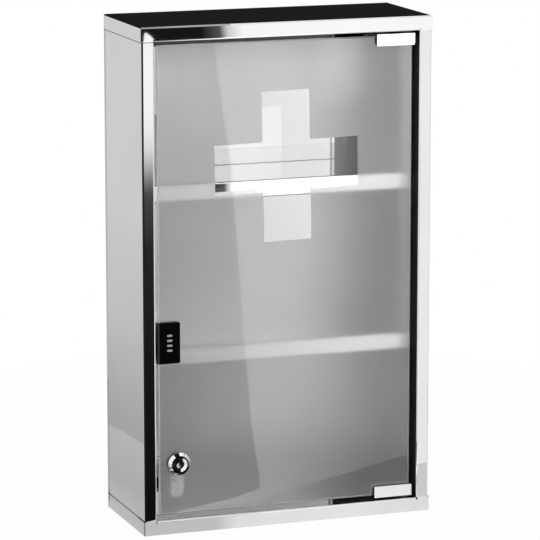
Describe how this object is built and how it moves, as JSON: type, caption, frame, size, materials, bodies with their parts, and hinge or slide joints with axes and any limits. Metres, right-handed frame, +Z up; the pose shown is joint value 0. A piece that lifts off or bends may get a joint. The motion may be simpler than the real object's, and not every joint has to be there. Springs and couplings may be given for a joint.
{
  "type": "medicine cabinet",
  "caption": "Wall-hung medicine cabinet of polished stainless steel with shelves and a locking frosted-glass door with a clear cross.",
  "frame": {"origin": "middle of the cabinet's underside", "axes": "+Z up, +Y to the wall behind the cabinet, +X to the right as seen from the front"},
  "size_m": [0.3, 0.12, 0.5],
  "materials": {
    "polished_steel": "mirror-polished stainless sheet",
    "frosted_glass": "etched at the back, with a clear cross",
    "hinge_chrome": "polished plating on a casting",
    "lock_chrome": "polished plating",
    "fastener_steel": "bright zinc plate",
    "nut_steel": "dull plate",
    "magnet_steel": "satin plate",
    "black_plastic": "glossy moulding",
    "latch_plastic": "fine moulded grain",
    "nylon": "black nylon",
    "pad_rubber": "soft black sheet"
  },
  "bodies": {
    "cabinet": {"top_cap": "polished_steel", "bottom_cap": "polished_steel", "left_side_panel": "polished_steel", "right_side_panel": "polished_steel", "back_panel": "polished_steel", "upper_shelf": "polished_steel", "lower_shelf": "polished_steel", "upper_pivot_bush": "nylon", "lower_pivot_bush": "nylon", "latch_housing": "latch_plastic", "latch_spring": "fastener_steel", "latch_screws": "fastener_steel"},
    "door": {"door_glass": "frosted_glass", "push_clip": "black_plastic", "strike_plate": "fastener_steel", "lock_housing": "lock_chrome", "lock_gasket": "pad_rubber", "lock_washer": "pad_rubber", "lock_nut": "nut_steel", "upper_hinge_clamp": "hinge_chrome", "upper_hinge_pin": "fastener_steel", "upper_hinge_pads": "pad_rubber", "upper_hinge_screws": "fastener_steel", "lower_hinge_clamp": "hinge_chrome", "lower_hinge_pin": "fastener_steel", "lower_hinge_pads": "pad_rubber", "lower_hinge_screws": "fastener_steel"},
    "lock": {"lock_plug": "lock_chrome", "lock_cam": "fastener_steel", "cam_screw": "fastener_steel"},
    "plunger": {"latch_plunger": "latch_plastic", "latch_magnet": "magnet_steel"}
  },
  "joints": [
    {"name": "door_hinge", "type": "hinge", "parent": "cabinet", "child": "door", "pos_m": [0.1245, -0.052, 0.25], "axis": [0, 0, 1], "range_deg": [0, 115]},
    {"name": "lock_turn", "type": "hinge", "parent": "door", "child": "lock", "pos_m": [-0.112, -0.052, 0.069], "axis": [0, 1, 0], "range_deg": [0, 90]},
    {"name": "plunger_slide", "type": "slide", "parent": "cabinet", "child": "plunger", "axis": [0, -1, 0], "range_m": [0, 0.008], "deforming": ["latch_spring"]}
  ],
  "couplings": [
    {"joint": "plunger_slide", "follows": "door_hinge", "m_per_rad": 0.00398}
  ]
}
